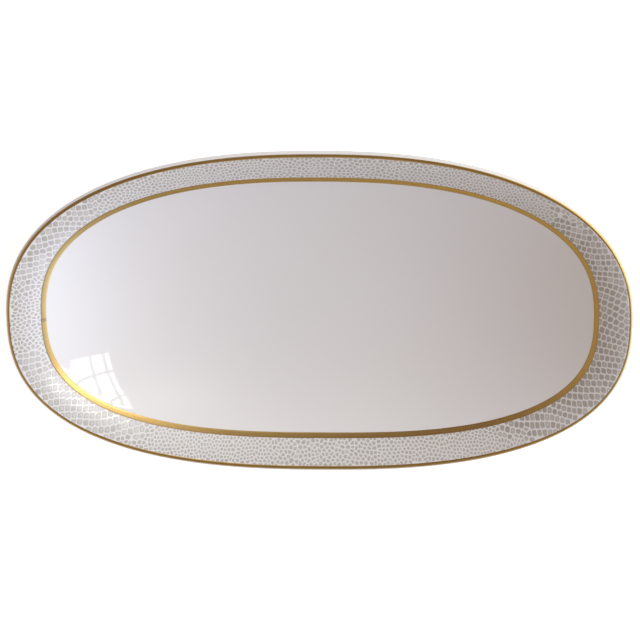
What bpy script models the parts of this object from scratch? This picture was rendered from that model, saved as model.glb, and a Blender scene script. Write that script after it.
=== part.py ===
"""Small oval china serving dish: one fired shell with its glaze, printed border and two gold lines.

Metres, +Z up.  X runs along the dish, Y across it, and the origin is the middle of the foot ring,
on the plane that the dish stands on.
"""
import math

import bpy
import numpy as np

# ---- driving dimensions -------------------------------------------------------------------------
HALF_LENGTH = 0.115        # outline of the glazed lip, half of 230 mm
HALF_WIDTH = 0.0625        # outline of the glazed lip, half of 125 mm
LIP_POWER = 2.40           # superellipse exponent of the lip
SIDE_HEIGHT = 0.0240       # top of the lip at the middle of each long side
END_LIFT = 0.0084          # how much higher the lip sweeps up at the two ends

BAND_HALF_LENGTH = 0.1028  # outer edge of the inner gold band
BAND_HALF_WIDTH = 0.0514
BAND_POWER = 2.53
BAND_DROP = 0.0053         # band below the lip at the sides
BAND_END_LIFT = 0.0091     # how much higher the band sits at the ends
BAND_WIDTH = 0.00185
RIM_SWELL = 0.0004         # how far the rim stands above a straight slope, half way across

FLOOR_HEIGHT = 0.0052      # upper side of the well at its middle
WELL_CURVE = 2.7           # power of the well's section: flat middle, steep wall
LIP_RADIUS = 0.00125       # round edge of the lip
RIM_THICKNESS = 0.0025
WELL_THICKNESS = 0.0030
LIP_START = 1.4            # the rim starts to round this many lip radii in from the outline

FOOT_HALF_LENGTH = 0.0605  # outer edge of the foot ring, where it stands
FOOT_HALF_WIDTH = 0.0310
FOOT_WIDTH = 0.0022
FOOT_POWER = 2.3
FOOT_FLARE = 0.0020        # the ring widens upwards by this much
FOOT_BEVEL = 0.0005
FOOT_ROOT_HEIGHT = 0.0046  # where the outside of the ring meets the wall
BARE_FOOT = 0.0014         # height of the unglazed edge above the table

GAP = 0.00008              # clearance kept between touching coats
GLAZE_COAT = 0.00015
PRINT_COAT = 0.00008
GOLD_COAT = 0.00010

SEGMENTS = 64              # points round each oval
WELL_SHARES = (0.12, 0.26, 0.40, 0.53, 0.66, 0.78, 0.89, 1.0)  # rings, as shares of the well
RIM_SHARES = (0.0, 0.33, 0.67, 1.0)                            # rings, as shares of the rim
LIP_ANGLES = (-4, 24, 57, 90, 123, 150)                        # rings round the lip, in degrees
UNDER_RIM = (-2, -3)       # rings of the upper side that the underside of the rim follows
UNDER_WALL = (-5, -6, -7)  # the same for the underside of the wall, down to the foot
UNDER_WELL = (3, 2, 1, 0)  # and inside the foot
FOOT_PROFILE = (           # distance out from the standing edge, height above the table
    (FOOT_FLARE, FOOT_ROOT_HEIGHT),
    (FOOT_FLARE * 0.4, BARE_FOOT),
    (0, FOOT_BEVEL),
    (-FOOT_BEVEL, 0),
    (-FOOT_WIDTH + FOOT_BEVEL, 0),
    (-FOOT_WIDTH, FOOT_BEVEL),
    (-FOOT_WIDTH - FOOT_FLARE * 0.3, BARE_FOOT),
)
GLAZED_OUTSIDE = 2         # foot rings that the outer glaze reaches down over
GLAZED_INSIDE = 1          # foot rings that the inner glaze reaches down over

CHINA_HALF_LENGTH = HALF_LENGTH - GAP - GLAZE_COAT
CHINA_HALF_WIDTH = HALF_WIDTH - GAP - GLAZE_COAT


def oval(half_length, half_width, power):
    """Points round a superellipse |x/a|^n + |y/b|^n = 1, evenly turned like an ellipse's."""
    turn = np.arange(SEGMENTS) * 2 * math.pi / SEGMENTS
    c, s = np.cos(turn), np.sin(turn)
    reach = (np.abs(c) ** power + np.abs(s) ** power) ** (-1 / power)
    return half_length * c * reach, half_width * s * reach


def ring(half_length, half_width, power, height, lift=0.0):
    """One oval of the loft: its height rises by lift towards both ends, as (x / half length) squared."""
    x, y = oval(half_length, half_width, power)
    z = height + lift * (x / half_length) ** 2
    return np.stack([x, y, z], axis=1)


def well_ring(share):
    """Upper side of the well, at a share of the way from its middle to the inner gold band."""
    inner_length = BAND_HALF_LENGTH - BAND_WIDTH
    inner_width = BAND_HALF_WIDTH - BAND_WIDTH
    wall = share ** WELL_CURVE
    band_height = SIDE_HEIGHT - BAND_DROP - BAND_WIDTH * 0.5
    height = FLOOR_HEIGHT + (band_height - FLOOR_HEIGHT) * wall
    power = 2 + (BAND_POWER - 2) * share
    return ring(inner_length * share, inner_width * share, power, height, BAND_END_LIFT * wall)


def rim_ring(share):
    """Upper side of the rim, from the band's outer edge (0) to where the lip starts to round (1)."""
    inset = LIP_RADIUS * LIP_START

    def between(first, last):
        return first + (last - first) * share
    swell = 4 * RIM_SWELL * share * (1 - share)
    return ring(between(BAND_HALF_LENGTH, CHINA_HALF_LENGTH - inset),
                between(BAND_HALF_WIDTH, CHINA_HALF_WIDTH - inset),
                between(BAND_POWER, LIP_POWER),
                between(SIDE_HEIGHT - BAND_DROP, SIDE_HEIGHT - LIP_RADIUS * 0.15) + swell,
                between(BAND_END_LIFT, END_LIFT))


def lip_ring(angle):
    """Round edge of the lip: angle in degrees from straight up, turning outwards."""
    out = LIP_RADIUS * (math.sin(math.radians(angle)) - 1)
    height = SIDE_HEIGHT - LIP_RADIUS * (1 - math.cos(math.radians(angle)))
    return ring(CHINA_HALF_LENGTH + out, CHINA_HALF_WIDTH + out, LIP_POWER, height, END_LIFT)


def foot_ring(out, height):
    """One oval of the foot: out is measured from its standing outer edge."""
    return ring(FOOT_HALF_LENGTH + out, FOOT_HALF_WIDTH + out, FOOT_POWER, height)


def grid_normals(rows):
    """Offset vectors of a grid of rings, one unit clear of both faces that meet at each ring."""
    steps = np.diff(rows, axis=0)
    around = np.roll(rows, -1, axis=1) - np.roll(rows, 1, axis=1)
    before = np.cross(np.concatenate([steps[:1], steps]), around)
    after = np.cross(np.concatenate([steps, steps[-1:]]), around)
    before /= np.linalg.norm(before, axis=2, keepdims=True)
    after /= np.linalg.norm(after, axis=2, keepdims=True)
    agreement = np.sum(before * after, axis=2, keepdims=True)
    return (before + after) / (1 + agreement)


def upper_rows():
    """Rings of the upper side, from the middle of the well out to the start of the lip."""
    rows = [well_ring(share) for share in WELL_SHARES]
    rows += [rim_ring(share) for share in RIM_SHARES]
    return np.array(rows)


def shell_rows():
    """All rings of the china shell, from the middle of the well, over the lip, to the middle below."""
    upper = upper_rows()
    inward = -grid_normals(upper)

    def below(which, thickness):
        which = list(which)
        return upper[which] + inward[which] * thickness
    lip = [lip_ring(angle) for angle in LIP_ANGLES]
    foot = [foot_ring(out, height) for out, height in FOOT_PROFILE]
    return np.concatenate([upper, lip, below(UNDER_RIM, RIM_THICKNESS), below(UNDER_WALL, WELL_THICKNESS),
                           foot, below(UNDER_WELL, WELL_THICKNESS)])


def closed_mesh(name, rows, start_centre=None, end_centre=None, backward=range(0)):
    """A closed body from rings: a centre point at each end, or rings that join up into a band.

    Where the rings run back under others, backward lists their steps, which take the same diagonals.
    """
    count = len(rows)
    joined = start_centre is None
    verts = [tuple(point) for row in rows for point in row]
    faces = []
    for r in range(count if joined else count - 1):
        low, high = r * SEGMENTS, (r + 1) % count * SEGMENTS
        for i in range(SEGMENTS):
            k = (i + 1) % SEGMENTS
            if r in backward:
                faces.append((low + i, high + i, low + k))
                faces.append((high + i, high + k, low + k))
            else:
                faces.append((low + i, high + i, high + k))
                faces.append((low + i, high + k, low + k))
    if not joined:
        last = (count - 1) * SEGMENTS
        verts += [tuple(start_centre), tuple(end_centre)]
        for i in range(SEGMENTS):
            k = (i + 1) % SEGMENTS
            faces.append((len(verts) - 2, i, k))
            faces.append((len(verts) - 1, last + k, last + i))
    mesh = bpy.data.meshes.new(name)
    mesh.from_pydata(verts, [], faces)
    mesh.shade_smooth()
    mesh.set_sharp_from_angle(angle=math.radians(50))
    return mesh


def material(name, colour, roughness, metallic=0.0):
    """A Principled surface with one colour."""
    mat = bpy.data.materials.new(name)
    mat.use_nodes = True
    shader = mat.node_tree.nodes["Principled BSDF"]
    shader.inputs["Base Color"].default_value = (*colour, 1)
    shader.inputs["Roughness"].default_value = roughness
    shader.inputs["Metallic"].default_value = metallic
    return mat


def add_part(name, mesh, mat, collection):
    """One named object for one piece."""
    mesh.materials.append(mat)
    obj = bpy.data.objects.new(name, mesh)
    collection.objects.link(obj)
    return obj


def coat(name, rows, normals, lowest, highest):
    """A thin band over a run of rings, between two distances out from the china."""
    upper = rows + normals * highest
    lower = rows + normals * lowest
    return closed_mesh(name, np.concatenate([upper, lower[::-1]]), backward=range(len(rows), 2 * len(rows)))


def well_pool(name, rows, normals, lowest, highest, centre):
    """A coat that starts at the middle of the well, centre being the china's height there."""
    upper = rows + normals * highest
    lower = rows + normals * lowest
    return closed_mesh(name, np.concatenate([upper, lower[::-1]]), (0, 0, centre + highest),
                       (0, 0, centre + lowest), backward=range(len(rows), 2 * len(rows)))


def recess_pool(name, rows, normals, lowest, highest, centre):
    """A coat that ends at the middle of the underside, centre being the china's height there."""
    upper = rows + normals * highest
    lower = rows + normals * lowest
    return closed_mesh(name, np.concatenate([lower[::-1], upper]), (0, 0, centre - lowest),
                       (0, 0, centre - highest), backward=range(len(rows)))


def build():
    """Makes every piece of the dish."""
    for obj in list(bpy.data.objects):
        bpy.data.objects.remove(obj)
    dish = bpy.data.collections.new("china_serving_platter")
    bpy.context.scene.collection.children.link(dish)

    rows = shell_rows()
    normals = grid_normals(rows)
    under_centre = FLOOR_HEIGHT - WELL_THICKNESS
    first_rim = len(WELL_SHARES)
    lip_start = first_rim + len(RIM_SHARES)
    foot_start = lip_start + len(LIP_ANGLES) + len(UNDER_RIM) + len(UNDER_WALL)
    recess_start = foot_start + len(FOOT_PROFILE) - GLAZED_INSIDE

    china = material("biscuit_china", (0.83, 0.81, 0.78), 0.55)
    glaze = material("clear_glaze", (0.84, 0.82, 0.82), 0.06)
    underside = material("clear_glaze_below", (0.82, 0.81, 0.80), 0.08)
    scales = material("taupe_print", (0.56, 0.53, 0.49), 0.25)
    band = material("band_gold", (0.62, 0.43, 0.17), 0.22, 1.0)
    line = material("edge_gold", (0.55, 0.40, 0.18), 0.24, 1.0)

    shell = closed_mesh("china_body", rows, (0, 0, FLOOR_HEIGHT), (0, 0, under_centre))
    add_part("china_body", shell, china, dish)

    glaze_low, glaze_high = GAP, GAP + GLAZE_COAT
    outer_run = slice(0, foot_start + GLAZED_OUTSIDE)
    outer_glaze = well_pool("glaze_coat", rows[outer_run], normals[outer_run], glaze_low, glaze_high,
                            FLOOR_HEIGHT)
    add_part("glaze_coat", outer_glaze, glaze, dish)
    inner_glaze = recess_pool("foot_recess_glaze", rows[recess_start:], normals[recess_start:],
                              glaze_low, glaze_high, under_centre)
    add_part("foot_recess_glaze", inner_glaze, underside, dish)

    print_low = glaze_high + GAP
    print_high = print_low + PRINT_COAT
    rim_run = slice(first_rim - 1, lip_start + 1)
    border = coat("scale_print", rows[rim_run], normals[rim_run], print_low, print_high)
    add_part("scale_print", border, scales, dish)

    gold_low = print_high + GAP
    gold_high = gold_low + GOLD_COAT
    band_run = slice(first_rim - 1, first_rim + 1)
    inner_band = coat("inner_gold_band", rows[band_run], normals[band_run], gold_low, gold_high)
    add_part("inner_gold_band", inner_band, band, dish)
    line_run = slice(lip_start - 1, lip_start + 2)
    edge_line = coat("edge_gold_line", rows[line_run], normals[line_run], gold_low, gold_high)
    add_part("edge_gold_line", edge_line, line, dish)


build()
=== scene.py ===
# Small deep oval china dish: glazed shell, printed scale border and two gold lines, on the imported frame.
# Lengths are in metres, +X runs along the dish and +Z up.
import math

import bpy
import numpy as np
from mathutils import Matrix, Vector


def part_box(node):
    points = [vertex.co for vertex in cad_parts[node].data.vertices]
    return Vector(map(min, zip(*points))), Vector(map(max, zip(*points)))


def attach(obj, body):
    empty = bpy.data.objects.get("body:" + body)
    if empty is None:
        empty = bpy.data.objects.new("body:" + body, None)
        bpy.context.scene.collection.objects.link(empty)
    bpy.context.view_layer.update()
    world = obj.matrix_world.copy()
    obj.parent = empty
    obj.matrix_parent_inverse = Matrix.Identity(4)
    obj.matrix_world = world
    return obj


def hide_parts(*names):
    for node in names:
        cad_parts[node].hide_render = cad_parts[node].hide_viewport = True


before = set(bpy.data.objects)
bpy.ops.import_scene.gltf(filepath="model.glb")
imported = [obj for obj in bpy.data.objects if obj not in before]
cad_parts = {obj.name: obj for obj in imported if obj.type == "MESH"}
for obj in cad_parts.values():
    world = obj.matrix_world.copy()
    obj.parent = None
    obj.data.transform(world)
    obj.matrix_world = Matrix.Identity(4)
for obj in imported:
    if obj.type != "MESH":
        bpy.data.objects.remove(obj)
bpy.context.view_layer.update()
mm = 0.001

# The dish's own surface, which every piece lies on.
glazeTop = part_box("glaze_coat")[1]  # outline of the glazed lip
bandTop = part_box("inner_gold_band")[1]  # outer edge of the gold band in the well
skin = 0.23 * mm  # glaze surface above the bare china, clearance and all
glazeGap = 0.08 * mm  # clearance between the china and the underside of the glaze
bandInset = 0.17 * mm  # the band's gold ends this far in from the oval that it follows

dish = {
    "halfLength": glazeTop.x - skin,  # outline of the bare china
    "halfWidth": glazeTop.y - skin,
    "lipPower": 2.40,  # superellipse power of the lip
    "sideHeight": 24.0 * mm,  # lip at the middle of each long side
    "endLift": 8.4 * mm,  # how much higher the lip is at the ends
    "lipRadius": 1.25 * mm,
    "lipStart": 1.4,  # lip radii in from the outline where the rim's slope stops
    "lipTurn": (-12.0, 152.0),  # the lip's rounding, in degrees from straight up
    "bandHalfLength": bandTop.x + bandInset,
    "bandHalfWidth": bandTop.y + bandInset,
    "bandPower": 2.53,
    "bandDrop": 5.3 * mm,  # band below the lip at the sides
    "bandLift": 9.1 * mm,  # how much higher the band is at the ends
    "bandWidth": 1.85 * mm,
    "rimSwell": 0.40 * mm,  # how far the rim stands above a straight slope, half way across
    "floorHeight": 5.2 * mm,
    "wellCurve": 2.7,  # power of the well's section
    "rimThickness": 2.5 * mm,
    "wellThickness": 3.0 * mm,
    "footHalfLength": 60.5 * mm,  # standing edge of the foot ring
    "footHalfWidth": 31.0 * mm,
    "footPower": 2.3,
    "footWidth": 2.2 * mm,
    "footFlare": 2.0 * mm,
    "footRoot": 4.6 * mm,
    "bareFoot": 1.4 * mm,  # bare china above the table
    "softBreak": 0.9 * mm,  # how softly the well turns into the rim
}
wellStations, rimStations, lipStations = 260, 90, 60  # how finely the section is worked out


def sectionStations(d):
    # The upper side's section as stations, each one oval: half length, half width, power, side height
    # and end lift.  Well: heights rise as share to the power wellCurve.  Rim: a slope from band to lip
    # that eases off outwards, rimSwell 4 v (1 - v) above straight.  Lip: an arc of lipRadius.
    wellShare = np.linspace(0.004, 1, wellStations)
    wall = wellShare ** d["wellCurve"]
    bandHeight = d["sideHeight"] - d["bandDrop"]
    innerHeight = bandHeight - d["bandWidth"] * 0.5
    well = np.stack([
        (d["bandHalfLength"] - d["bandWidth"]) * wellShare,
        (d["bandHalfWidth"] - d["bandWidth"]) * wellShare,
        2 + (d["bandPower"] - 2) * wellShare,
        d["floorHeight"] + (innerHeight - d["floorHeight"]) * wall,
        d["bandLift"] * wall], axis=1)
    inset = d["lipRadius"] * d["lipStart"]
    bandEdge = np.array([d["bandHalfLength"], d["bandHalfWidth"], d["bandPower"], bandHeight, d["bandLift"]])
    lipEdge = np.array([d["halfLength"] - inset, d["halfWidth"] - inset, d["lipPower"],
                        d["sideHeight"] - d["lipRadius"] * 0.15, d["endLift"]])
    rimShare = np.linspace(0, 1, rimStations)[:, None]
    rim = bandEdge + (lipEdge - bandEdge) * rimShare
    rim[:, 3] += 4 * d["rimSwell"] * (rimShare * (1 - rimShare))[:, 0]
    angle = np.radians(np.linspace(*d["lipTurn"], lipStations))[:, None]
    out = d["lipRadius"] * (np.sin(angle) - 1)
    down = d["lipRadius"] * (1 - np.cos(angle))
    one = np.ones_like(angle)
    lip = np.concatenate([d["halfLength"] + out, d["halfWidth"] + out, d["lipPower"] * one,
                          d["sideHeight"] - down, d["endLift"] * one], axis=1)
    return np.concatenate([well, rim, lip])


def sectionPath(stations):
    # Distance along the section at the middle of a long side: the lengths of the steps, added up.
    step = np.hypot(np.diff(stations[:, 1]), np.diff(stations[:, 3]))
    return np.concatenate([[stations[0, 1]], stations[0, 1] + np.cumsum(step)])


stations = sectionStations(dish)
path = sectionPath(stations)
wellEnd, bandEnd = path[wellStations - 1], path[wellStations]  # the band's two edges
lipBegin, lipArc = path[wellStations + rimStations - 1], path[wellStations + rimStations]
pathEnd = path[-1]


def ovalSize(turn, power):
    # How far a unit superellipse reaches at a turn: (|cos|^n + |sin|^n) to the power -1/n.
    return (np.abs(np.cos(turn)) ** power + np.abs(np.sin(turn)) ** power) ** (-1 / power)


def onSection(reach, turn):
    # Point at a distance along the section and a turn round the oval, its breaks still sharp.
    # Oval: |x/a|^n + |y/b|^n = 1, height = z + e (x/a)^2.
    a, b, n, z, e = (np.interp(reach, path, stations[:, k]) for k in range(5))
    size = ovalSize(turn, n)
    c, s = np.cos(turn), np.sin(turn)
    return np.stack([a * c * size, b * s * size, z + e * (c * size) ** 2], axis=-1)


def planDistance(first, second):
    # How far apart two points are when seen from above.
    return np.linalg.norm((second - first)[..., :2], axis=-1)


def roundBreaks(point, turn, width):
    # Rounds the two breaks beside the band: each adds slope change x (sqrt(d^2 + width^2) - d) / 2 to
    # the height, with d the distance from the break seen from above.
    for at in (wellEnd, bandEnd):
        here, before, after = (onSection(at + step, turn) for step in (0, -0.5 * mm, 0.5 * mm))
        change = ((after - here)[..., 2] / planDistance(here, after)
                  - (here - before)[..., 2] / planDistance(before, here))
        away = planDistance(here, point)
        point[..., 2] += change * (np.sqrt(away ** 2 + width ** 2) - away) / 2
    return point


def onUpper(reach, turn, lift=0.0):
    # Point of the upper side raised by lift along the surface normal, and that normal: the step along
    # the section crossed with the step round the oval.
    reach, turn = np.broadcast_arrays(np.asarray(reach, float), np.asarray(turn, float))

    def place(r, t):
        return roundBreaks(onSection(r, t), t, dish["softBreak"])
    point = place(reach, turn)
    dr, dt = 0.06 * mm, 2e-3
    along = place(np.minimum(reach + dr, pathEnd), turn) - place(np.maximum(reach - dr, 0), turn)
    around = place(reach, turn + dt) - place(reach, turn - dt)
    normal = np.cross(along, around)
    normal /= np.linalg.norm(normal, axis=-1, keepdims=True)
    return point + normal * np.asarray(lift)[..., None], normal


def footOval(d, out, height, turn):
    # One oval of the foot, out from its standing edge, at a height above the table.
    size = ovalSize(turn, d["footPower"])
    x = (d["footHalfLength"] + out) * np.cos(turn) * size
    y = (d["footHalfWidth"] + out) * np.sin(turn) * size
    return np.stack([x, y, np.full_like(x, height)], axis=-1)


def smoothRows(rows, between):
    # Cubic B-spline through a list of rings: each new ring weighs four neighbours, so corners round off.
    rows = np.concatenate([rows[:1] * 2 - rows[1:2], rows, rows[-1:] * 2 - rows[-2:-1]])
    t = np.arange(between)[:, None, None, None] / between
    p0, p1, p2, p3 = (rows[None, k:len(rows) - 3 + k] for k in range(4))
    made = ((1 - t) ** 3 * p0 + (3 * t ** 3 - 6 * t ** 2 + 4) * p1
            + (-3 * t ** 3 + 3 * t ** 2 + 3 * t + 1) * p2 + t ** 3 * p3) / 6
    made = made.transpose(1, 0, 2, 3).reshape(-1, rows.shape[1], 3)
    last = (rows[-3:-2] + 4 * rows[-2:-1] + rows[-1:]) / 6
    return np.concatenate([made, last])


def rowNormals(rows):
    # Unit normals of a grid of rings: the step along the section crossed with the step round the oval.
    along = np.gradient(rows, axis=0)
    around = np.roll(rows, -1, axis=1) - np.roll(rows, 1, axis=1)
    normal = np.cross(along, around)
    return normal / np.linalg.norm(normal, axis=2, keepdims=True)


shellGrid = {
    "segments": 448,  # points round the dish
    "wellRows": 42,
    "rimRows": 24,
    "lipRows": 16,
    "footBetween": 4,  # rings made for each of the underside's guiding rings
    "wallBelow": (0.985, 0.93, 0.87, 0.82),  # guiding rings under the well, as shares of its reach
    "recessBelow": (0.50, 0.40, 0.28, 0.16, 0.06),
}
segments = shellGrid["segments"]


def turns(count):
    # Equal turns round the oval, in radians.
    return np.arange(count) * 2 * math.pi / count


def shellRows(d, g):
    # Every ring of the china, from the middle of the well, over the lip, to the middle below.  The
    # underside runs one thickness below the upper side, then down, round and up the foot.
    turn = turns(segments)
    wellReach = wellEnd * np.linspace(0.03, 1, g["wellRows"]) ** 0.9
    rimReach = np.linspace(wellEnd, lipArc, g["rimRows"])[1:]
    lipReach = np.linspace(lipArc, pathEnd, g["lipRows"])[1:]
    reach = np.concatenate([wellReach, rimReach, lipReach])
    upper, _ = onUpper(reach[:, None], turn[None, :])

    def below(part, thickness):
        point, normal = onUpper(np.asarray(part)[:, None], turn[None, :])
        return point - normal * thickness
    rimBelow = below(np.linspace(lipBegin - 1.2 * mm, bandEnd, 4), d["rimThickness"])
    wallBelow = below(wellEnd * np.array(g["wallBelow"]), d["wellThickness"])
    flare, width = d["footFlare"], d["footWidth"]
    foot = np.stack([footOval(d, out, height, turn) for out, height in (
        (flare * 1.15, d["footRoot"] + 0.5 * mm),
        (flare * 0.8, d["footRoot"] - 1.2 * mm),
        (flare * 0.4, d["bareFoot"]),
        (flare * 0.1, 0.5 * mm),
        (-0.25 * mm, 0.0),
        (-width * 0.4, 0.0),
        (-width * 0.6, 0.0),
        (-width + 0.25 * mm, 0.0),
        (-width - flare * 0.1, 0.5 * mm),
        (-width - flare * 0.3, d["bareFoot"]),
        (-width - flare * 0.6, d["bareFoot"] + 1.2 * mm))])
    recess = below(wellEnd * np.array(g["recessBelow"]), d["wellThickness"])
    guides = np.concatenate([upper[-1:], rimBelow, wallBelow, foot, recess])
    return upper, smoothRows(guides, g["footBetween"])


upperRows, underRows = shellRows(dish, shellGrid)
allRows = np.concatenate([upperRows, underRows[1:]])
allNormals = rowNormals(allRows)
lowest = allRows[..., 2].min(axis=1)
bareRings = np.flatnonzero(lowest < dish["bareFoot"])
outerEnd, innerStart = bareRings[0], bareRings[-1] + 1
print("shell rings:", len(allRows), "glaze ends at ring", outerEnd, "and starts again at", innerStart)


def gridFaces(rows, count, wrapRows=False):
    # Quads between neighbouring rings of count points, closed round each ring.
    r = np.arange(rows if wrapRows else rows - 1)[:, None]
    i = np.arange(count)[None, :]
    k = (i + 1) % count
    near, far = r * count, (r + 1) % rows * count
    return np.stack([near + i, far + i, far + k, near + k], axis=-1).reshape(-1, 4)


def fanFaces(centre, ring, count, flip=False):
    # Triangles from a middle point to a ring.
    i = np.arange(count)
    k = (i + 1) % count
    near, far = (ring + k, ring + i) if flip else (ring + i, ring + k)
    return np.stack([np.full(count, centre), near, far], axis=-1)


def makePiece(name, verts, quads, triangles=None):
    # A smooth-shaded mesh object at the origin from whole arrays of points and faces.
    triangles = np.empty((0, 3), int) if triangles is None else triangles
    mesh = bpy.data.meshes.new(name)
    mesh.vertices.add(len(verts))
    mesh.vertices.foreach_set("co", np.ascontiguousarray(verts, dtype=np.float32).ravel())
    loops = np.concatenate([quads.ravel(), triangles.ravel()]).astype(np.int32)
    sizes = np.concatenate([np.full(len(quads), 4), np.full(len(triangles), 3)])
    starts = np.concatenate([[0], np.cumsum(sizes)[:-1]]).astype(np.int32)
    mesh.loops.add(len(loops))
    mesh.loops.foreach_set("vertex_index", loops)
    mesh.polygons.add(len(sizes))
    mesh.polygons.foreach_set("loop_start", starts)
    mesh.update(calc_edges=True)
    mesh.validate()
    mesh.shade_smooth()
    piece = bpy.data.objects.new(name, mesh)
    bpy.context.scene.collection.objects.link(piece)
    return piece


def pointAttribute(piece, name, values):
    # One number for each point of a piece, which its material reads by name.
    layer = piece.data.attributes.new(name, "FLOAT", "POINT")
    layer.data.foreach_set("value", np.ascontiguousarray(values, dtype=np.float32).ravel())


def finishPiece(piece, material, node):
    # Material and frame body, and hides the CAD node that the piece stands for.
    piece.data.materials.append(material)
    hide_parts(node)
    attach(piece, "root")
    print("made", piece.name, len(piece.data.vertices), "points")


def addNode(tree, kind, values=None, **settings):
    # A shader node: its settings, then each input linked to a socket or given a fixed value.
    node = tree.nodes.new(kind)
    for key, value in settings.items():
        setattr(node, key, value)
    for key, value in (values or {}).items():
        if isinstance(value, bpy.types.NodeSocket):
            tree.links.new(value, node.inputs[key])
        else:
            node.inputs[key].default_value = value
    return node


class Finish:
    # A material whose shader is built up one node at a time.
    def __init__(self, name):
        self.material = bpy.data.materials.new(name)
        self.material.use_nodes = True
        self.tree = self.material.node_tree
        self.shader = self.tree.nodes["Principled BSDF"]

    def add(self, kind, values=None, **settings):
        return addNode(self.tree, kind, values, **settings)

    def objectPlace(self):
        return self.add("ShaderNodeTexCoord").outputs["Object"]

    def attribute(self, name):
        return self.add("ShaderNodeAttribute", attribute_name=name).outputs["Fac"]

    def noise(self, place, scale, detail=3.0, roughness=0.5):
        # Cloudy grey from 0 to 1, scale clouds to the metre.
        return self.add("ShaderNodeTexNoise", {"Vector": place, "Scale": scale, "Detail": detail,
                                               "Roughness": roughness}).outputs["Fac"]

    def remap(self, value, low, high, toLow, toHigh):
        # Stretches low..high to toLow..toHigh in a straight line, and holds it beyond both ends.
        return self.add("ShaderNodeMapRange", {"Value": value, "From Min": low, "From Max": high,
                                               "To Min": toLow, "To Max": toHigh}).outputs["Result"]

    def times(self, first, second):
        return self.add("ShaderNodeMath", {0: first, 1: second}, operation="MULTIPLY").outputs[0]

    def mixColour(self, amount, first, second):
        # First colour at amount 0, second at amount 1.
        first, second = ((*c, 1) if isinstance(c, tuple) else c for c in (first, second))
        return self.add("ShaderNodeMix", {0: amount, 6: first, 7: second}, data_type="RGBA").outputs[2]

    def bump(self, height, strength, distance):
        return self.add("ShaderNodeBump", {"Height": height, "Strength": strength,
                                           "Distance": distance}).outputs["Normal"]

    def shade(self, **inputs):
        # Puts each colour, number or socket on the shader, and hands back the finished material.
        names = {"colour": "Base Color", "roughness": "Roughness", "metallic": "Metallic",
                 "normal": "Normal", "ior": "IOR"}
        for key, value in inputs.items():
            if isinstance(value, bpy.types.NodeSocket):
                self.tree.links.new(value, self.shader.inputs[names[key]])
            else:
                self.shader.inputs[names[key]].default_value = value
        return self.material


porcelain = {
    "white": (0.800, 0.775, 0.775),
    "thin": (0.815, 0.775, 0.750),  # where the glaze is thin, at the lip
    "pooled": (0.745, 0.765, 0.770),  # where it gathers, at the foot
    "speck": (0.45, 0.38, 0.32),
    "roughness": 0.038,
    "waves": (55.0, 0.35, 0.12 * mm),  # slow waves: scale, strength and height
    "peel": (900.0, 0.12, 0.01 * mm),  # fine orange peel
    "speckScale": 95.0,
}


def glazeMaterial(p):
    # White glaze: slow waves and fine orange peel, a little colour where it pools, rare iron specks.
    n = Finish("whiteGlaze")
    place = n.objectPlace()
    pool = n.attribute("glazePool")
    drift = n.noise(place, 28.0, 2.0)
    colour = n.mixColour(pool, p["white"], p["pooled"])
    colour = n.mixColour(n.attribute("glazeThin"), colour, p["thin"])
    colour = n.mixColour(n.remap(drift, 0.35, 0.7, 0.0, 0.22), colour, p["thin"])
    cells = n.add("ShaderNodeTexVoronoi", {"Vector": place, "Scale": p["speckScale"]}, feature="F1")
    rare = n.remap(n.noise(place, 61.0, 0.0), 0.70, 0.72, 0.0, 1.0)
    dot = n.remap(cells.outputs["Distance"], 0.012, 0.022, 0.55, 0.0)
    colour = n.mixColour(n.times(rare, dot), colour, p["speck"])
    waveScale, waveStrength, waveHeight = p["waves"]
    peelScale, peelStrength, peelHeight = p["peel"]
    waves = n.noise(place, waveScale, 1.0)
    peel = n.noise(place, peelScale, 2.0)
    waved = n.bump(waves, waveStrength, waveHeight)
    peeled = n.add("ShaderNodeBump", {"Height": peel, "Strength": peelStrength, "Distance": peelHeight,
                                      "Normal": waved}).outputs["Normal"]
    rough = n.remap(peel, 0.3, 0.7, p["roughness"] * 0.8, p["roughness"] * 1.25)
    return n.shade(colour=colour, roughness=rough, ior=1.52, normal=peeled)


biscuit = {"china": (0.78, 0.755, 0.72), "stain": (0.60, 0.53, 0.46), "roughness": 0.62}


def biscuitMaterial(p):
    # Bare fired china: fine grit with faint grey-brown rubbing where it stands.
    n = Finish("bareChina")
    place = n.objectPlace()
    grit = n.noise(place, 2600.0, 4.0, 0.65)
    cloud = n.noise(place, 120.0, 3.0)
    colour = n.mixColour(n.remap(cloud, 0.5, 0.75, 0.0, 0.45), p["china"], p["stain"])
    rough = n.remap(grit, 0.3, 0.7, p["roughness"] * 0.85, p["roughness"] * 1.15)
    return n.shade(colour=colour, roughness=rough, normal=n.bump(grit, 0.5, 0.04 * mm))


china = biscuitMaterial(biscuit)
glaze = glazeMaterial(porcelain)


def thinRows(count, keepFrom, step):
    # Every step-th ring up to keepFrom and every ring after it, for a surface that is hidden at first.
    return np.unique(np.concatenate([np.arange(0, keepFrom, step), np.arange(keepFrom, count)]))


def closedShell(name, rows):
    # A closed body from rings, with a point at the middle of the first and of the last.
    count = len(rows)
    verts = np.concatenate([rows.reshape(-1, 3), [[0, 0, rows[0, :, 2].mean()]],
                            [[0, 0, rows[-1, :, 2].mean()]]])
    fans = np.concatenate([fanFaces(count * segments, 0, segments),
                           fanFaces(count * segments + 1, (count - 1) * segments, segments, flip=True)])
    return makePiece(name, verts, gridFaces(count, segments), fans)


def smoothStep(value, low, high):
    # 0 below low and 1 above high, with 3 t^2 - 2 t^3 between them.
    share = np.clip((value - low) / (high - low), 0, 1)
    return share * share * (3 - 2 * share)


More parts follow.
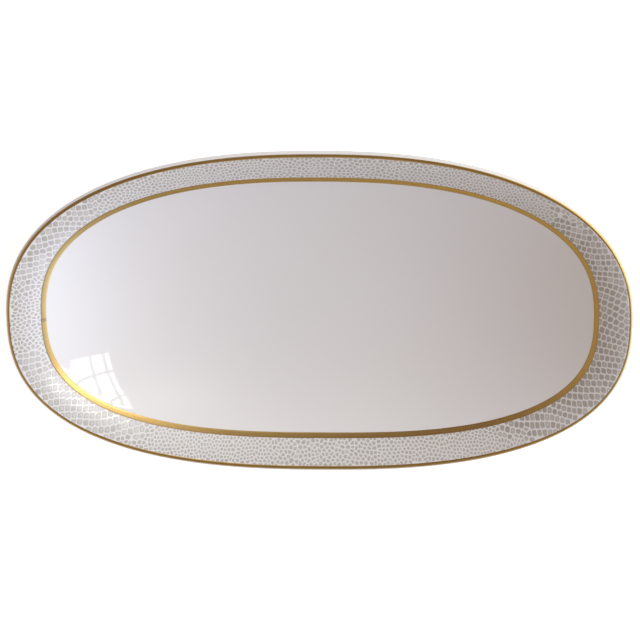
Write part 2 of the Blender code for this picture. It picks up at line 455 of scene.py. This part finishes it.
def glazeTints(piece, d):
    # Glaze pools on the outside just above the foot, exp(-(distance / width)^2), and runs thin at the lip.
    points = np.empty(len(piece.data.vertices) * 3, np.float32)
    piece.data.vertices.foreach_get("co", points)
    x, y, _ = np.abs(points.reshape(-1, 3)).T
    power = d["lipPower"]
    ovalReach = ((x / glazeTop.x) ** power + (y / glazeTop.y) ** power) ** (1 / power)
    rootReach = (d["footHalfLength"] + 3 * mm) / glazeTop.x
    outside = np.zeros(len(x))
    outside[len(upperRows) * segments:outerEnd * segments] = 1
    pointAttribute(piece, "glazePool", outside * np.exp(-((ovalReach - rootReach) / 0.03) ** 2) * 0.8)
    pointAttribute(piece, "glazeThin", smoothStep(ovalReach, 0.985, 0.999) * 0.7)


footRows = thinRows(len(allRows), outerEnd - 4, 3)
finishPiece(closedShell("chinaShell", allRows[footRows]), china, "china_body")

outerSide = (allRows + allNormals * skin)[:outerEnd]
innerSide = (allRows + allNormals * glazeGap)[:outerEnd][thinRows(outerEnd, outerEnd - 3, 3)]
glazeShell = closedShell("outerGlaze", np.concatenate([outerSide, innerSide[::-1]]))
glazeTints(glazeShell, dish)
finishPiece(glazeShell, glaze, "glaze_coat")

recessOuter = (allRows + allNormals * skin)[innerStart:]
recessInner = (allRows + allNormals * glazeGap)[innerStart:]
recess = closedShell("recessGlaze", np.concatenate([recessInner[::-1], recessOuter]))
poolRings = 8  # rings beside the foot over which the pooled colour fades
pooled = np.zeros((len(recessOuter) * 2, segments))
pooled[len(recessOuter):len(recessOuter) + poolRings] = np.linspace(1, 0, poolRings)[:, None]
pointAttribute(recess, "glazePool", np.concatenate([pooled.ravel(), [0, 0]]))
pointAttribute(recess, "glazeThin", np.zeros(len(recess.data.vertices)))
finishPiece(recess, glaze, "foot_recess_glaze")

gold = {
    "bright": (0.65, 0.430, 0.150),
    "deep": (0.45, 0.290, 0.100),
    "mark": (0.33, 0.23, 0.10),  # where the two ends of a band overlap
    "roughness": 0.29,
    "streaksAlong": 9.0,  # brush streaks in one round of the dish
    "bandStreaks": 16.0,  # streaks across the wide band, and across the thin line
    "lineStreaks": 9.0,
    "segments": 720,
    "across": 9,
    "edgeLift": 0.050 * mm,  # above the glaze, over the print
    "depth": 0.008 * mm,  # underside below the edges
    "crown": 0.055 * mm,  # how much the middle of a line stands above its edges
    "bandWander": 0.035 * mm,  # a hand-held brush's drift
    "lineWander": 0.030 * mm,
    "bandOver": 0.02 * mm,  # how far the band runs past its oval on either side
    "lineInner": (-26.0, 4.0),  # the line's inner edge in degrees round the lip, at the sides and the ends
    "lineOuter": (24.0, 42.0),
    "markTurn": math.radians(181.5),  # where the band's two ends overlap
    "markHalf": math.radians(0.62),
}


def goldMaterial(g, name, streaks):
    # Burnished gold: brush streaks run along the line, edges thin out and the two ends overlap in a mark.
    n = Finish(name)
    uv = n.add("ShaderNodeUVMap", uv_map="alongLine").outputs["UV"]
    stretched = n.add("ShaderNodeMapping", {"Vector": uv, "Scale": (g["streaksAlong"], streaks, 1.0)})
    streak = n.noise(stretched.outputs["Vector"], 1.0, 4.0, 0.6)
    cloud = n.noise(n.objectPlace(), 160.0, 2.0)
    colour = n.mixColour(n.remap(streak, 0.32, 0.68, 0.0, 0.55), g["bright"], g["deep"])
    colour = n.mixColour(n.remap(cloud, 0.4, 0.7, 0.0, 0.25), colour, g["deep"])
    colour = n.mixColour(n.attribute("thinEdge"), colour, g["deep"])
    colour = n.mixColour(n.attribute("overlap"), colour, g["mark"])
    rough = n.remap(streak, 0.3, 0.7, g["roughness"] * 0.75, g["roughness"] * 1.3)
    return n.shade(colour=colour, roughness=rough, metallic=1.0, normal=n.bump(streak, 0.30, 0.02 * mm))


def wander(turn, size, seed):
    # Slow hand drift round a line: a few sine waves of random phase, each over the root of its count.
    rng = np.random.default_rng(seed)
    total = np.zeros_like(turn)
    for waves in (3, 7, 13, 29):
        total += np.sin(waves * turn + rng.uniform(0, 6.28)) / math.sqrt(waves)
    return total * size * 0.5


def bandEdges(turn):
    # Where the band starts and stops along the section at each turn.
    over, drift = gold["bandOver"], gold["bandWander"]
    return wellEnd - over + wander(turn, drift, 11), bandEnd + over + wander(turn, drift, 12)


def lipReach(angles, turn):
    # Distance along the section of a lip angle that changes from the sides to the ends as cos squared.
    side, end = angles
    angle = side + (end - side) * np.cos(turn) ** 2
    return lipArc + np.radians(angle - dish["lipTurn"][0]) * dish["lipRadius"]


def lineInner(turn):
    # Inner edge of the thin line, which the print runs in under.
    return lipReach(gold["lineInner"], turn) + wander(turn, gold["lineWander"], 13)


def lineEdges(turn):
    # Where the thin line starts and stops along the section at each turn.
    return lineInner(turn), lipReach(gold["lineOuter"], turn) + wander(turn, gold["lineWander"], 14)


def lineUv(piece, g):
    # UV of each corner: share of the way round and share across, with the last quads ending at 1.
    index = np.empty(len(piece.data.loops), np.int32)
    piece.data.loops.foreach_get("vertex_index", index)
    row, column = index // g["segments"], index % g["segments"]
    across = np.where(row < g["across"], row, 2 * g["across"] - 1 - row) / (g["across"] - 1)
    column = column.reshape(-1, 4)
    seam = (column.min(axis=1) == 0) & (column.max(axis=1) == g["segments"] - 1)
    column = np.where(seam[:, None] & (column == 0), g["segments"], column).ravel()
    uv = np.stack([column / g["segments"], across], axis=1)
    piece.data.uv_layers.new(name="alongLine").data.foreach_set("uv", uv.astype(np.float32).ravel())


def goldLine(name, material, node, edges, g, marked):
    # A shallow domed strip between two distances along the section: lift = edge + crown (1 - (2v-1)^4).
    turn = turns(g["segments"])
    v = np.linspace(0, 1, g["across"])[:, None]
    first, last = edges(turn)
    reach = first[None, :] + (last - first)[None, :] * v
    lift = skin + g["edgeLift"] + g["crown"] * (1 - (2 * v - 1) ** 4)
    top, _ = onUpper(reach, turn[None, :], lift + 0 * turn[None, :])
    bottom, _ = onUpper(reach[::-1], turn[None, :], np.full_like(reach, skin + g["edgeLift"] - g["depth"]))
    rows = np.concatenate([top, bottom])
    piece = makePiece(name, rows.reshape(-1, 3), gridFaces(len(rows), g["segments"], wrapRows=True))
    lineUv(piece, g)
    profile = np.concatenate([np.abs(2 * v[:, 0] - 1) ** 6, np.abs(2 * v[::-1, 0] - 1) ** 6])
    pointAttribute(piece, "thinEdge", np.repeat(profile, g["segments"]) * 0.8)
    fromMark = np.abs(np.angle(np.exp(1j * (turn - g["markTurn"]))))
    mark = smoothStep(g["markHalf"] - fromMark, -0.003, 0.003) * 0.75 * marked
    pointAttribute(piece, "overlap", np.tile(mark, len(rows)))
    piece.data.set_sharp_from_angle(angle=math.radians(60))  # the top keeps its own shading
    finishPiece(piece, material, node)


goldLine("wellBand", goldMaterial(gold, "bandGold", gold["bandStreaks"]), "inner_gold_band",
         bandEdges, gold, True)
goldLine("lipLine", goldMaterial(gold, "lineGold", gold["lineStreaks"]), "edge_gold_line",
         lineEdges, gold, False)

ink = {"taupe": (0.405, 0.368, 0.328), "pale": (0.72, 0.695, 0.675), "roughness": 0.26}


def inkMaterial(p):
    # Printed enamel: each scale's own strength of colour, which also holds painted shade across the rim,
    # with a slight cloudiness and grain.
    n = Finish("taupeEnamel")
    place = n.objectPlace()
    strength = n.attribute("inkStrengthAndShade")
    grain = n.noise(place, 1500.0, 3.0, 0.6)
    shade = n.times(strength, n.remap(grain, 0.3, 0.7, 0.86, 1.08))
    colour = n.mixColour(shade, p["pale"], p["taupe"])
    rough = n.remap(grain, 0.3, 0.7, p["roughness"] * 0.8, p["roughness"] * 1.3)
    return n.shade(colour=colour, roughness=rough, ior=1.65, normal=n.bump(grain, 0.25, 0.01 * mm))


# Zones are placed by their middle and half width in degrees round the dish.  In a zone, length runs along
# a row, slant leans the rows at the middle, hollow is the share of pale-centred scales and strength the
# depth of colour.
scales = {
    "seed": 20,
    "corners": 16,  # points round one scale
    "lift": (0.024 * mm, 0.036 * mm, 0.038 * mm),  # edge, shoulder and middle above the glaze
    "round": 18.0,  # how square the corners are
    "neighbours": 14,  # scales that shape each one
    "largeGap": (0.155 * mm, 0.27 * mm),  # half the pale line between scales of a row, and between rows
    "smallGap": (0.185 * mm, 0.205 * mm),
    "underLine": 0.22 * mm,  # how far the scales run in under the gold line
    "underBand": 0.75 * mm,  # and in under the band
    "large": (
        dict(at=-5, half=28, length=1.95 * mm, rowPitch=2.50 * mm, disorder=0.10, slant=0.45,
             hollow=0.22, strength=1.00),
        dict(at=162, half=10, length=2.10 * mm, rowPitch=2.40 * mm, disorder=0.12, slant=0.0,
             hollow=0.45, strength=0.72),
        dict(at=201, half=12.5, length=2.10 * mm, rowPitch=2.60 * mm, disorder=0.12, slant=0.0,
             hollow=0.90, strength=0.72)),
    "small": dict(length=1.50 * mm, rowPitch=1.18 * mm, disorder=1.0, slant=0.0, hollow=0.06, strength=0.72),
    "paintedRimShade": 0.22,  # painted shade across the rim: the print darker inwards at +X and outwards at -X
    "lost": 0.09,  # share of small scales that larger neighbours have grown over
    "crowding": 3.6 * mm,  # small scales drift sideways, closest at x = -44 mm and widest at 10 mm
    "settle": (0.10, 0.32),  # how far a large and a small scale move to their own middle each time
}


def skinLattice(kind, stagger, rng):
    # Rows of scales across the whole dish, seen from above: x = column x length, y = row x rowPitch,
    # then slow waves, a slant at the middle and a random shake.
    length, rowPitch = kind["length"], kind["rowPitch"]
    lastRow = math.ceil(dish["halfWidth"] / rowPitch) + 2
    lastColumn = math.ceil(dish["halfLength"] / length) + 3
    rows = np.arange(-lastRow, lastRow + 1)
    columns = np.arange(-lastColumn, lastColumn + 1)
    offset = rows % 2 * 0.5 * stagger + rng.uniform(-0.5, 0.5, len(rows)) * (1 - stagger) * 0.7
    x = (columns[None, :] + offset[:, None]) * length
    y = rows[:, None] * rowPitch + 0 * x
    middle = dish["halfLength"] - 7 * mm
    lean = kind["slant"] * (np.abs(x) - middle) * np.exp(-(y / (14 * mm)) ** 2)
    waveX = 0.55 * length * np.sin(y / (5.3 * mm) + x / (21 * mm))
    waveY = 0.30 * rowPitch * np.sin(x / (4.1 * mm) + 0.9 * np.sin(y / (6.0 * mm)))
    shake = rng.normal(0, 0.24, (2,) + x.shape) * kind["disorder"]
    plan = np.stack([x + waveX + shake[0] * length, y - lean + waveY + shake[1] * rowPitch], axis=-1)
    return plan.reshape(-1, 2)


def planToRim(plan):
    # From above back to the section: the turn is atan2(y/b, x/a), and the distance along the section is
    # halved down until |x/a|^n + |y/b|^n = 1.
    x, y = plan[..., 0], plan[..., 1]
    low, high = np.full(x.shape, bandEnd - 3 * mm), np.full(x.shape, lipBegin + 1.3 * mm)
    for _ in range(24):
        reach = (low + high) / 2
        a, b, n = (np.interp(reach, path, stations[:, k]) for k in range(3))
        outside = np.abs(x / a) ** n + np.abs(y / b) ** n > 1
        low, high = np.where(outside, reach, low), np.where(outside, high, reach)
    return reach, np.arctan2(y / b, x / a)


def nearest(centres, count):
    # The closest other centres to each centre.
    square = ((centres[:, None] - centres[None]) ** 2).sum(axis=-1)
    np.fill_diagonal(square, 1)
    return np.argpartition(square, count, axis=1)[:, :count]


def scaleReach(centres, s, inRow=0.0, betweenRows=0.0):
    # Distance from each centre to its edge in each direction: the soft minimum, over the neighbours,
    # of the distance to the line midway between the two, less half the gap.
    step = centres[nearest(centres, s["neighbours"])] - centres[:, None, :]
    length = np.linalg.norm(step, axis=-1)
    gap = inRow + (betweenRows - inRow) * (step[..., 1] / length) ** 2
    angle = turns(s["corners"])
    way = np.stack([np.cos(angle), np.sin(angle)])
    facing = np.maximum(step @ way, 1e-9)
    distance = np.maximum(length / 2 - gap, 0.02 * mm)[..., None] * length[..., None] / facing
    return np.sum((mm / distance) ** s["round"], axis=1) ** (-1 / s["round"]) * mm, way


def inZone(plan, zone):
    # Whether each point lies in a zone, whose two ends wander a few degrees.
    angle = np.degrees(np.arctan2(plan[:, 1], plan[:, 0])) - zone["at"]
    off = (angle + 180) % 360 - 180
    wobble = 2.4 * np.sin(np.linalg.norm(plan, axis=1) / (2.1 * mm)) + 1.5 * np.sin(plan[:, 1] / (1.3 * mm))
    return np.abs(off) < zone["half"] + wobble


def onRim(plan):
    # Whether each point lies on the rim or close beside it.
    reach, _ = planToRim(plan)
    return (reach > bandEnd - 2.5 * mm) & (reach < lipBegin + 1.2 * mm)


def scaleCentres(s):
    # Large scales in neat rows in their zones, small ones in the rest, none of them too close together;
    # then each drifts to the middle of its own scale.  Returns centres and zone number, -1 for small.
    rng = np.random.default_rng(s["seed"])
    small = skinLattice(s["small"], 1.0, rng)
    small[:, 0] -= s["crowding"] * np.sin((small[:, 0] + 44 * mm) * math.pi / (54 * mm))
    small = small[onRim(small)]
    small = small[rng.random(len(small)) > s["lost"]]
    centres, number = [], []
    for k, zone in enumerate(s["large"]):
        plan = skinLattice(zone, 0.0, rng)
        plan = plan[onRim(plan)]
        plan = plan[inZone(plan, zone)]
        small = small[~inZone(small, zone)]
        away = np.linalg.norm(small[:, None] - plan[None], axis=-1).min(axis=1)
        small = small[away > 0.36 * (zone["length"] + s["small"]["length"])]
        centres.append(plan)
        number.append(np.full(len(plan), k))
    centres = np.concatenate(centres + [small])
    number = np.concatenate(number + [np.full(len(small), -1)])
    drift = np.where(number < 0, s["settle"][1], s["settle"][0])[:, None]
    for _ in range(4):
        reach, way = scaleReach(centres, s)
        shift = np.einsum("ik,dk->id", reach ** 3, way) / np.sum(reach ** 2, axis=1, keepdims=True) * 0.67
        centres = centres + np.clip(shift, -0.4 * mm, 0.4 * mm) * drift
    return centres, number


def scaleOutlines(s, rng):
    # Centre and edge points of every scale along the section and round the oval.  An edge is cut off
    # where it would show beyond the gold, and a scale that this leaves as a sliver is dropped.
    centres, number = scaleCentres(s)
    kinds = s["large"] + (s["small"],)
    longest = np.array([max(kind["length"], kind["rowPitch"]) for kind in kinds])[number]
    halfGaps = np.where(number[:, None] < 0, s["smallGap"], s["largeGap"])
    reach, way = scaleReach(centres, s, halfGaps[:, :1], halfGaps[:, 1:])
    reach = np.minimum(reach, 0.75 * longest[:, None]) * (1 + rng.normal(0, 0.03, reach.shape))
    centreReach, centreTurn = planToRim(centres)
    inside = (centreReach > bandEnd - 0.7 * mm) & (centreReach < lineInner(centreTurn) + s["underLine"])
    edgeReach, edgeTurn = planToRim(centres[inside, None] + reach[inside, :, None] * way.T[None])
    edgeReach = np.clip(edgeReach, bandEnd - s["underBand"], lineInner(edgeTurn) + s["underLine"])
    centreReach, centreTurn, number = centreReach[inside, None], centreTurn[inside, None], number[inside]
    turnStep = np.angle(np.exp(1j * (edgeTurn - centreTurn)))
    whole = ((edgeReach < centreReach).any(axis=1) & (edgeReach > centreReach).any(axis=1)
             & (np.ptp(edgeReach, axis=1) > 0.45 * mm) & (np.abs(turnStep).max(axis=1) < 0.15))
    return centreReach[whole], centreTurn[whole], edgeReach[whole], turnStep[whole], number[whole]


def inkStrengthAndShade(s, centreReach, centreTurn, number, rng):
    # Colour of each scale's edge, shoulder and middle points, with painted shade across the rim; a hollow
    # scale pales towards its middle.
    total, corners = len(number), s["corners"]
    kinds = s["large"] + (s["small"],)
    hollowShare = np.array([kind["hollow"] for kind in kinds])[number]
    strength = rng.uniform(0.82, 1.08, total) * np.array([kind["strength"] for kind in kinds])[number]
    across = (centreReach[:, 0] - bandEnd) / (lipArc - bandEnd) - 0.5
    # painted shade: the print is made darker inwards at +X and outwards at -X across the rim
    strength = strength * (1 - 2 * s["paintedRimShade"] * across * np.cos(centreTurn[:, 0]))
    hollow = (rng.random(total) < hollowShare) * rng.uniform(0.45, 0.95, total)
    tone = np.empty((total, 2 * corners + 1))
    tone[:, :corners] = strength[:, None] * 0.82
    tone[:, corners:2 * corners] = (strength * (1 - 0.35 * hollow))[:, None]
    tone[:, 2 * corners] = strength * (1 - hollow)
    tone *= 1 + rng.normal(0, 0.05, tone.shape)
    return np.clip(tone, 0, 1.1)


def scaleBorder(s, material):
    # Every scale is a low lens: a ring of edge points, a shoulder ring, a middle and a flat underside.
    rng = np.random.default_rng(s["seed"] + 1)
    centreReach, centreTurn, edgeReach, turnStep, number = scaleOutlines(s, rng)

    def ring(share, lift):
        along = centreReach + (edgeReach - centreReach) * share
        return onUpper(along, centreTurn + turnStep * share, np.full_like(along, skin + lift))[0]
    edgeLift, shoulderLift, middleLift = s["lift"]
    verts = np.concatenate([ring(1.0, edgeLift), ring(0.66, shoulderLift), ring(0.0, middleLift)[:, :1]],
                           axis=1)
    corners, total = s["corners"], len(number)
    i = np.arange(corners)
    k = (i + 1) % corners
    base = np.arange(total)[:, None, None] * (2 * corners + 1)
    slopes = base + np.stack([i, k, corners + k, corners + i], axis=1)[None]
    tops = base + np.stack([corners + i, corners + k, np.full(corners, 2 * corners)], axis=1)[None]
    unders = base + np.stack([np.zeros(corners - 2, int), i[2:], i[1:-1]], axis=1)[None]
    piece = makePiece("scaleBorder", verts.reshape(-1, 3), slopes.reshape(-1, 4),
                      np.concatenate([tops.reshape(-1, 3), unders.reshape(-1, 3)]))
    pointAttribute(piece, "inkStrengthAndShade", inkStrengthAndShade(s, centreReach, centreTurn, number, rng))
    piece.data.set_sharp_from_angle(angle=math.radians(60))  # the top keeps its own shading
    finishPiece(piece, material, "scale_print")
    print("scales:", total)


scaleBorder(scales, inkMaterial(ink))

view = {
    "target": Vector((0.2 * mm, -2.05 * mm, 24.5 * mm)),  # looked at, just off the middle of the lip
    "distance": 1.195,
    "lean": 20.0,  # degrees from straight above, towards +Y
    "side": 2.7,  # degrees towards +X
    "roll": -0.76,
    "lens": 182.4,
}


def aimed(position, target, up):
    # Turns an object's -Z towards the target, with +Y as near to up as it can be.
    forward = (target - position).normalized()
    right = forward.cross(up).normalized()
    top = right.cross(forward)
    turned = Matrix((right, top, -forward)).transposed().to_4x4()
    return Matrix.Translation(position) @ turned


def makeCamera(v):
    # A long lens above the dish: back from the target by distance, tipped by lean and side, then rolled.
    lean, side = math.radians(v["lean"]), math.radians(v["side"])
    way = Vector((math.sin(side), math.sin(lean) * math.cos(side), math.cos(lean) * math.cos(side)))
    place = aimed(v["target"] + way * v["distance"], v["target"], Vector((0, 1, 0)))
    data = bpy.data.cameras.new("viewCamera")
    data.lens = v["lens"]
    data.sensor_width = 36
    camera = bpy.data.objects.new("viewCamera", data)
    camera.matrix_world = place @ Matrix.Rotation(math.radians(v["roll"]), 4, "Z")
    bpy.context.scene.collection.objects.link(camera)
    bpy.context.scene.camera = camera


studio = {
    "floor": (0.93, 0.93, 0.93),
    "floorTooth": (0.91, 0.91, 0.915),
    "floorHalf": 3.0,
    "floorGlow": 0.64,
    "room": (0.080, 0.030, 0.035),
    # soft patches of light in the room: azimuth, elevation and half width in degrees, then the light
    "patches": (
        (-20, 38, 16, (0.44, 0.66, 1.15)),
        (-40, 14, 18, (1.66, 2.10, 3.08)),
        (0, 10, 18, (2.72, 2.65, 2.13)),
        (15, 22, 12, (2.66, 2.56, 2.05)),
        (60, 12, 22, (3.10, 3.39, 3.39)),
        (180, 30, 40, (0.44, 0.42, 0.37)),
        (255, 20, 34, (0.45, 0.44, 0.29)),
        (48, 60, 8, (0.8, 0.8, 0.9))),
    "windowTurn": 8.0,  # degrees from +X to the window's middle
    "windowAway": 1.5,
    "windowColumns": (-0.40, 0.07, 0.76, 1.40),  # upright bars, metres along the window
    "windowRows": (1.68, 2.02, 2.29, 2.43),  # level bars, metres above the table
    "bar": 0.055,
    "windowGlow": 7.0,
}


def floorMaterial(s):
    # Pale paper with a very faint tooth, a little self-lit so that it stays nearly white.
    n = Finish("paleFloor")
    tooth = n.noise(n.objectPlace(), 400.0, 3.0)
    colour = n.mixColour(n.remap(tooth, 0.3, 0.7, 0.0, 0.3), s["floor"], s["floorTooth"])
    n.shader.inputs["Emission Color"].default_value = (1, 1, 1, 1)
    n.shader.inputs["Emission Strength"].default_value = s["floorGlow"]
    return n.shade(colour=colour, roughness=0.85)


def makeFloor(s):
    # One level square at the height that the dish stands on.
    half = s["floorHalf"]
    verts = np.array([(-half, -half, 0), (half, -half, 0), (half, half, 0), (-half, half, 0)])
    floor = makePiece("paleFloor", verts, np.array([[0, 1, 2, 3]]))
    floor.data.materials.append(floorMaterial(s))
    floor.visible_diffuse = False  # the pale floor doesn't wash out the outside of the dish


def areaLight(name, position, target, size, power):
    # A white rectangle of light that faces its target.
    data = bpy.data.lights.new(name, "AREA")
    data.shape = "RECTANGLE"
    data.size, data.size_y = size
    data.energy = power
    light = bpy.data.objects.new(name, data)
    light.matrix_world = aimed(position, target, Vector((0, 0, 1)))
    bpy.context.scene.collection.objects.link(light)


def makeWindow(s):
    # One light for each pane between the bars, all in an upright plane, each as bright as its area.
    turn = math.radians(s["windowTurn"])
    out, along = Vector((math.cos(turn), math.sin(turn), 0)), Vector((-math.sin(turn), math.cos(turn), 0))
    columns, rows = s["windowColumns"], s["windowRows"]
    for c, (left, right) in enumerate(zip(columns, columns[1:])):
        for r, (low, high) in enumerate(zip(rows, rows[1:])):
            width, height = right - left - s["bar"], high - low - s["bar"]
            place = out * s["windowAway"] + along * (left + right) / 2 + Vector((0, 0, (low + high) / 2))
            areaLight("pane%d%d" % (c, r), place, place - out, (width, height),
                      s["windowGlow"] * math.pi * width * height)


def makeRoom(s):
    # Sky round the dish: a dim even light plus soft patches, each exp(k (cos(angle from its middle) - 1)).
    world = bpy.data.worlds.new("softRoom")
    world.use_nodes = True
    tree = world.node_tree
    way = addNode(tree, "ShaderNodeTexCoord").outputs["Generated"]
    total = s["room"]
    for azimuth, elevation, half, light in s["patches"]:
        a, e = math.radians(azimuth), math.radians(elevation)
        middle = (math.cos(e) * math.cos(a), math.cos(e) * math.sin(a), math.sin(e))
        facing = addNode(tree, "ShaderNodeVectorMath", {0: way, 1: middle}, operation="DOT_PRODUCT")
        sharp = math.log(2) / (1 - math.cos(math.radians(half)))
        power = addNode(tree, "ShaderNodeMath", {0: facing.outputs["Value"], 1: sharp, 2: -sharp},
                        operation="MULTIPLY_ADD")
        bell = addNode(tree, "ShaderNodeMath", {0: power.outputs[0]}, operation="EXPONENT")
        tint = addNode(tree, "ShaderNodeVectorMath", {0: bell.outputs[0], 1: light, 2: total},
                       operation="MULTIPLY_ADD")
        total = tint.outputs["Vector"]
    tree.links.new(total, tree.nodes["Background"].inputs["Color"])
    bpy.context.scene.world = world


makeCamera(view)
makeFloor(studio)
makeWindow(studio)
makeRoom(studio)
bpy.context.scene.view_settings.view_transform = "Standard"
print("floor, lights and camera are in place")
